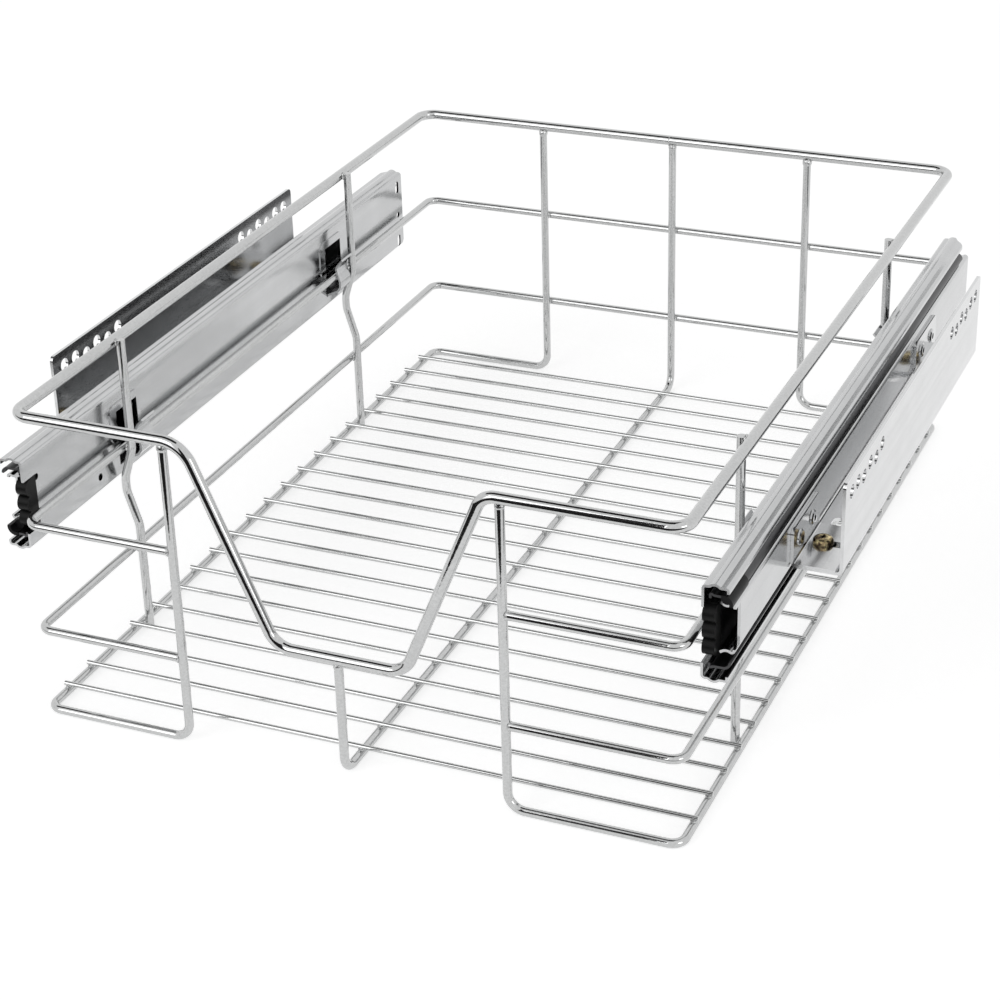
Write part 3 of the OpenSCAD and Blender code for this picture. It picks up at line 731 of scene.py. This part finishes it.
def plan(sizes):
    """The wires' centre lines, worked out from the boxes of the frame's nodes."""
    rim_low, rim_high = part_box("top_rim")
    base_low, base_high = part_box("left_base_wire")
    right_low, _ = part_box("right_base_wire")
    centre_low, centre_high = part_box("centre_wire")
    _, band_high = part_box("upper_band_wire")
    floor_low, floor_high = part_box("floor_wires")
    rim_r = sizes.rim_wire / 2
    wire_r = sizes.frame_wire / 2
    return SimpleNamespace(
        rim_r=rim_r,
        wire_r=wire_r,
        left=rim_low.x + rim_r,
        right=rim_high.x - rim_r,
        front=rim_low.y + rim_r,
        back=rim_high.y - rim_r,
        rim_z=rim_high.z - rim_r,
        notch_z=rim_low.z + rim_r,
        side_x=band_high.x - wire_r,
        band_back=band_high.y - wire_r,
        base_z=base_low.z + wire_r,
        base_back=base_high.y - wire_r,
        posts=(base_high.x - wire_r, right_low.x + wire_r),
        post_top=base_high.z,
        centre_x=(centre_low.x + centre_high.x) / 2,
        floor_z=(floor_low.z + floor_high.z) / 2,
        floor_front=floor_low.y + sizes.floor_wire / 2,
        floor_back=floor_high.y - sizes.floor_wire / 2,
        floor_half=floor_high.x,
    )


def band_height(node):
    """The height of a band's centre line."""
    low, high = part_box(node)
    return (low.z + high.z) / 2


def side_wire_places(node, at):
    """Along one side wire: its straight line's x, its kink's x, its y, and its lowest and highest z."""
    low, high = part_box(node)
    ends = (low.x + at.wire_r, high.x - at.wire_r)
    x, kink_x = reversed(ends) if node.startswith("left") else ends
    return x, kink_x, (low.y + high.y) / 2, low.z, high.z


def rim_path(at, sizes):
    """The rim: a level loop that dips at the front, in the notch."""
    top = sizes.notch_top / 2
    bottom = sizes.notch_bottom / 2
    x = sizes.notch_offset
    corners = [
        (at.left, at.front, at.rim_z), (x - top, at.front, at.rim_z),
        (x - bottom, at.front, at.notch_z), (x + bottom, at.front, at.notch_z),
        (x + top, at.front, at.rim_z), (at.right, at.front, at.rim_z),
        (at.right, at.back, at.rim_z), (at.left, at.back, at.rim_z),
    ]
    return corners, list(sizes.rim_bends)


def band_path(at, sizes, z):
    """A band at one height: from one front post round the sides and the back to the other."""
    reach = sizes.band_reach * at.wire_r
    corners = [
        (at.posts[0] - reach, at.front, z), (-at.side_x, at.front, z), (-at.side_x, at.band_back, z),
        (at.side_x, at.band_back, z), (at.side_x, at.front, z), (at.posts[1] + reach, at.front, z),
    ]
    return corners, [0] + [sizes.band_bend] * 4 + [0]


def base_path(at, sizes, x):
    """A base wire: down the front post at x, round its side of the base and up the back post."""
    outer = math.copysign(at.side_x, x)
    corners = [
        (x, at.front, at.post_top), (x, at.front, at.base_z), (outer, at.front, at.base_z),
        (outer, at.base_back, at.base_z), (x, at.base_back, at.base_z), (x, at.base_back, at.post_top),
    ]
    corner = sizes.band_bend
    return corners, [0, sizes.post_bend, corner, corner, sizes.post_bend, 0]


def centre_path(at, sizes):
    """The centre wire: from the notch down, along under the floor wires and up the back."""
    x = at.centre_x
    corners = [
        (x, at.front, at.notch_z - at.rim_r * sizes.centre_reach), (x, at.front, at.base_z),
        (x, at.base_back, at.base_z), (x, at.base_back, at.post_top),
    ]
    return corners, [0, sizes.post_bend, sizes.post_bend, 0]


def side_path(at, sizes, node):
    """A side wire: straight down from the rim, with a kink outwards below the slide."""
    x, kink_x, y, low, high = side_wire_places(node, at)
    heights = [at.base_z + z for z in sizes.kink_heights]
    corners = [
        (x, y, high), (x, y, heights[0]), (kink_x, y, heights[1]), (kink_x, y, heights[2]),
        (x, y, heights[3]), (x, y, low),
    ]
    return corners, [0] + [sizes.kink_bend] * 4 + [0]


def path_mesh(name, corners, bends, closed=False):
    """A chain of edges through the corners, which holds the bend radius of each."""
    mesh = bpy.data.meshes.new(name)
    edges = [(i, i + 1) for i in range(len(corners) - 1)]
    if closed:
        edges.append((len(corners) - 1, 0))
    mesh.from_pydata(corners, edges, [])
    radius = mesh.attributes.new("bend", "FLOAT", "POINT")
    radius.data.foreach_set("value", bends)
    return mesh


def point_mesh(name, places, half_sizes=None):
    """Loose points, which may hold the half size of what stands on each."""
    mesh = bpy.data.meshes.new(name)
    mesh.from_pydata(places, [], [])
    if half_sizes:
        size = mesh.attributes.new("half_size", "FLOAT_VECTOR", "POINT")
        size.data.foreach_set("vector", [value for half in half_sizes for value in half])
    return mesh


def weld_places(at, sizes, bead):
    """Every weld of the basket: where it is and its half size along X, Y and Z."""
    collar = (bead.collar * at.wire_r, bead.collar * at.wire_r, bead.collar_height)
    wide = bead.crossing * at.wire_r
    deep = bead.crossing_depth
    on_side = (deep, wide, wide)
    on_back = (wide, deep, wide)
    on_base = (deep, wide, bead.base_crossing * at.wire_r)
    on_floor = (bead.floor_width * at.wire_r, bead.floor_length * at.wire_r, bead.floor_depth)
    bands = [band_height(node) for node in BAND_WIRES]
    band_back = (at.base_back + at.band_back) / 2
    below_rim = -at.rim_r - bead.collar_drop
    for x in at.posts:
        for y in (at.front, at.base_back):
            yield (x, y, at.rim_z + below_rim), collar
        band_end = x + math.copysign(bead.band_end * at.wire_r, x)
        for z in bands:
            yield (band_end, at.front, z), on_side
            yield (x, band_back, z), on_back
    yield (at.centre_x, at.base_back, at.rim_z + below_rim), collar
    yield (at.centre_x, at.front, at.notch_z + below_rim), collar
    for z in bands:
        yield (at.centre_x, band_back, z), on_back
    for node in SIDE_WIRES:
        x, _, y, _, _ = side_wire_places(node, at)
        edge = (x + math.copysign(at.side_x, x)) / 2
        for z in (at.rim_z, *bands):
            yield (edge, y, z), on_side
        yield (edge, y, at.base_z), on_base
    joint_z = (at.base_z + at.wire_r + at.floor_z - sizes.floor_wire / 2) / 2
    for y in floor_rows(at, sizes):
        for x in (-at.side_x, at.centre_x, at.side_x):
            yield (x, y, joint_z), on_floor


def floor_rows(at, sizes):
    """Where the floor wires lie along Y."""
    gap = (at.floor_back - at.floor_front) / (sizes.floor_count - 1)
    return [at.floor_front + i * gap for i in range(sizes.floor_count)]


# ---- Operators ----------------------------------------------------------------------------------

def basket_piece(piece, *nodes):
    """A piece of the basket, which stands for its CAD nodes."""
    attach(piece, WIRE_BODY)
    if nodes:
        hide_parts(*nodes)


class BASKET_OT_frame_wires(bpy.types.Operator):
    """Bends the rim, the bands, the base wires, the centre wire and the side wires"""

    bl_idname = "basket.frame_wires"
    bl_label = "Frame wires"

    def execute(self, context):
        sizes = context.scene.basket_wires
        at = plan(sizes)
        routes = {
            **{node: band_path(at, sizes, band_height(node)) for node in BAND_WIRES},
            **{node: base_path(at, sizes, x) for node, x in zip(BASE_WIRES, at.posts)},
            "centre_wire": centre_path(at, sizes),
            **{node: side_path(at, sizes, node) for node in SIDE_WIRES},
        }
        self.bend(context, "top_rim", rim_path(at, sizes), sizes.rim_wire, closed=True)
        for node, route in routes.items():
            self.bend(context, node, route, sizes.frame_wire)
        return {"FINISHED"}

    def bend(self, context, node, route, diameter, closed=False):
        sizes = context.scene.basket_wires
        source = path_mesh(node + "_route", *route, closed=closed)
        piece = grown(
            "bent_" + node, source, tree_of(bent_wire_tree), diameter=diameter,
            round_steps=sizes.round_steps, bend_steps=sizes.bend_steps,
            material=material_of(context, "chrome_wire"),
        )
        basket_piece(piece, node)


class BASKET_OT_floor_wires(bpy.types.Operator):
    """Lays the floor wires across the base"""

    bl_idname = "basket.floor_wires"
    bl_label = "Floor wires"

    def execute(self, context):
        sizes = context.scene.basket_wires
        at = plan(sizes)
        rows = point_mesh("floor_rows", [(0, y, at.floor_z) for y in floor_rows(at, sizes)])
        piece = grown(
            "floor_row", rows, tree_of(wire_row_tree), diameter=sizes.floor_wire,
            length=2 * at.floor_half, round_steps=sizes.floor_steps,
            material=material_of(context, "chrome_wire"),
        )
        basket_piece(piece, "floor_wires")
        return {"FINISHED"}


class BASKET_OT_welds(bpy.types.Operator):
    """Sets a weld bead wherever two wires are joined"""

    bl_idname = "basket.welds"
    bl_label = "Weld beads"

    def execute(self, context):
        sizes = context.scene.basket_wires
        bead = context.scene.basket_welds
        at = plan(sizes)
        inset = bead.seam_inset
        seam_place = (at.centre_x - bead.seam_offset, at.back - inset, at.rim_z - inset)
        seam = (seam_place, (bead.seam_width, at.rim_r, at.rim_r))
        places, halves = zip(*weld_places(at, sizes, bead), seam)
        piece = grown(
            "weld_beads", point_mesh("weld_points", places, halves), tree_of(bead_tree),
            material=material_of(context, "weld_chrome"),
        )
        basket_piece(piece)
        return {"FINISHED"}


class BASKET_OT_metalwork(bpy.types.Operator):
    """Finishes the slides, cages, balls, brackets, plates and the small parts on them"""

    bl_idname = "basket.metalwork"
    bl_label = "Slides and plates"

    def execute(self, context):
        for node in frame["nodes"]:
            if node not in REBUILT:
                dress_node(context, node)
        return {"FINISHED"}


class BASKET_OT_screws(bpy.types.Operator):
    """Turns the adjusting screws: their pan heads and their threaded shanks"""

    bl_idname = "basket.screws"
    bl_label = "Adjusting screws"

    def execute(self, context):
        sizes = context.scene.basket_screws
        for side, node in SCREWS.items():
            low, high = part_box(node)
            head = (high.x - low.x) / 2
            x = (low.x + high.x) / 2
            rows = (low.y + head, high.y - head)
            under_heads = [(x, y, low.z + sizes.shank_length) for y in rows]
            heads = self.turn(context, f"{side}_screws", pan_screw_tree, under_heads)
            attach(heads, f"{side}_plate")
            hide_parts(node)
            thread_starts = [(x, y, low.z + sizes.thread_start) for y in rows]
            threads = self.turn(context, f"{side}_threads", thread_tree, thread_starts)
            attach(threads, f"{side}_plate")
        return {"FINISHED"}

    def turn(self, context, name, make, places):
        """Heads or threads at the places. Their tree takes the sizes that it has inputs for."""
        group = context.scene.basket_screws
        sizes = {key: getattr(group, key) for key in ScrewSizes.__annotations__}
        points = point_mesh(name + "_points", places)
        material = material_of(context, "yellow_zinc")
        return grown(name, points, tree_of(make), material=material, **sizes)


def seen_or_mirrored(tree):
    """1 for rays from the camera, and for those that metal or glass sends on."""
    rays = add(tree, "ShaderNodeLightPath").outputs
    metal = math_node(tree, "MAXIMUM", rays["Is Glossy Ray"], rays["Is Transmission Ray"])
    return math_node(tree, "MAXIMUM", rays["Is Camera Ray"], metal)


def level_corners(middle, width, depth):
    """The corners of a level rectangle."""
    x, y, z = middle
    signs = ((-1, -1), (1, -1), (1, 1), (-1, 1))
    return [(x + width * i / 2, y + depth * j / 2, z) for i, j in signs]


def upright_corners(foot, width, height):
    """The corners of an upright triangle that rises to the right, from the foot of its right edge."""
    x, y, z = foot
    return [(x - width, y, z), (x, y, z), (x, y, z + height)]


def flat_sheet(name, corners):
    """A flat sheet that stands in the studio and isn't part of the basket."""
    mesh = bpy.data.meshes.new(name)
    mesh.from_pydata(corners, [], [range(len(corners))])
    sheet = placed(name, mesh)
    return sheet


def floor_material(studio):
    """Pale matt floor. What it adds for seen rays makes it white and leaves its shadows."""
    material = bpy.data.materials.new("studio_floor")
    tree = bare_tree(material)
    matt = add(tree, "ShaderNodeBsdfDiffuse", {0: opaque([studio.floor_tone] * 3)}).outputs[0]
    glow = times(tree, seen_or_mirrored(tree), studio.floor_glow)
    lit = add(tree, "ShaderNodeEmission", {"Color": WHITE, "Strength": glow}).outputs[0]
    both = add(tree, "ShaderNodeAddShader", {0: matt, 1: lit}).outputs[0]
    add(tree, "ShaderNodeOutputMaterial", {0: both})
    return material


def room(context, studio):
    """The room: white where it is seen or mirrored, and an even soft light elsewhere."""
    world = bpy.data.worlds.new("studio_room")
    context.scene.world = world
    tree = bare_tree(world)
    strength = add(tree, "ShaderNodeMapRange", {
        "Value": seen_or_mirrored(tree), "To Min": studio.sky, "To Max": 1.0,
    }).outputs[0]
    light = add(tree, "ShaderNodeBackground", {"Color": WHITE, "Strength": strength}).outputs[0]
    add(tree, "ShaderNodeOutputWorld", {0: light})


def soft_lamp(name, place, aim, size, power):
    """A rectangular lamp that points at its aim."""
    data = bpy.data.lights.new(name, "AREA")
    data.shape = "RECTANGLE"
    data.size, data.size_y = size
    data.energy = power
    lamp = placed(name, data)
    lamp.location = place
    lamp.rotation_euler = (Vector(aim) - Vector(place)).to_track_quat("-Z", "Y").to_euler()


def mirrored_card(name, corners, tone):
    """A card of one grey tone that only mirrors show, to draw dark lines in bright metal."""
    card = flat_sheet(name, corners)
    material = bpy.data.materials.new(name)
    tree = bare_tree(material)
    grey = add(tree, "ShaderNodeEmission", {"Color": opaque([tone] * 3)}).outputs[0]
    add(tree, "ShaderNodeOutputMaterial", {0: grey})
    card.data.materials.append(material)
    card.visible_camera = False
    card.visible_diffuse = False
    card.visible_shadow = False
    card.visible_transmission = False


class BASKET_OT_studio(bpy.types.Operator):
    """Sets up the camera, the floor, the room, the lamps and the dark cards"""

    bl_idname = "basket.studio"
    bl_label = "Studio"

    def execute(self, context):
        studio = context.scene.basket_studio
        camera = placed("camera", bpy.data.cameras.new("camera"))
        camera.location = studio.camera_place
        camera.rotation_euler = studio.camera_turn
        camera.data.lens = studio.camera_lens
        context.scene.camera = camera

        floor_z = CAD_BOX[0].z - studio.floor_drop
        floor_size = studio.floor_size
        floor = flat_sheet("floor", level_corners((0, 0, floor_z), floor_size, floor_size))
        floor.data.materials.append(floor_material(studio))
        room(context, studio)

        power = studio.lamp_power
        side_power = power * studio.side_lamp_share
        aim = studio.lamp_aim
        soft_lamp("front_lamp", studio.front_lamp_place, aim, studio.front_lamp_size, power)
        soft_lamp("side_lamp", studio.side_lamp_place, aim, studio.side_lamp_size, side_power)

        depth = floor_size / 2
        front_y = CAD_BOX[0].y - studio.front_card_gap - depth / 2
        front_middle = (0, front_y, floor_z + studio.front_card_lift)
        cards = {
            "front_card": level_corners(front_middle, depth, depth),
            "top_card": level_corners(studio.top_card_place, *studio.top_card_size),
            "upright_card": upright_corners(studio.upright_card_foot, *studio.upright_card_size),
        }
        for name, corners in cards.items():
            mirrored_card(name, corners, studio.card_tone)
        context.scene.view_settings.view_transform = "Standard"
        return {"FINISHED"}


class BASKET_PT_panel(bpy.types.Panel):
    """Lists the basket's pieces and the studio"""

    bl_idname = "BASKET_PT_panel"
    bl_label = "Pull-out basket"
    bl_space_type = "VIEW_3D"
    bl_region_type = "UI"
    bl_category = "Basket"

    def draw(self, context):
        for operator in OPERATORS:
            self.layout.operator(operator.bl_idname)


OPERATORS = (
    BASKET_OT_studio, BASKET_OT_frame_wires, BASKET_OT_floor_wires, BASKET_OT_welds,
    BASKET_OT_metalwork, BASKET_OT_screws,
)
SETTINGS = {
    "basket_wires": WireSizes, "basket_welds": WeldSizes, "basket_screws": ScrewSizes,
    "basket_finish": Finish, "basket_studio": Studio,
}
CLASSES = (*SETTINGS.values(), *OPERATORS, BASKET_PT_panel)


def register():
    for made in CLASSES:
        bpy.utils.register_class(made)
    for name, group in SETTINGS.items():
        setattr(bpy.types.Scene, name, PointerProperty(type=group))


def unregister():
    for name in SETTINGS:
        delattr(bpy.types.Scene, name)
    for made in reversed(CLASSES):
        bpy.utils.unregister_class(made)


def main():
    register()
    bpy.ops.basket.studio()
    bpy.ops.basket.frame_wires()
    bpy.ops.basket.floor_wires()
    bpy.ops.basket.welds()
    bpy.ops.basket.metalwork()
    bpy.ops.basket.screws()


if __name__ == "__main__":
    main()
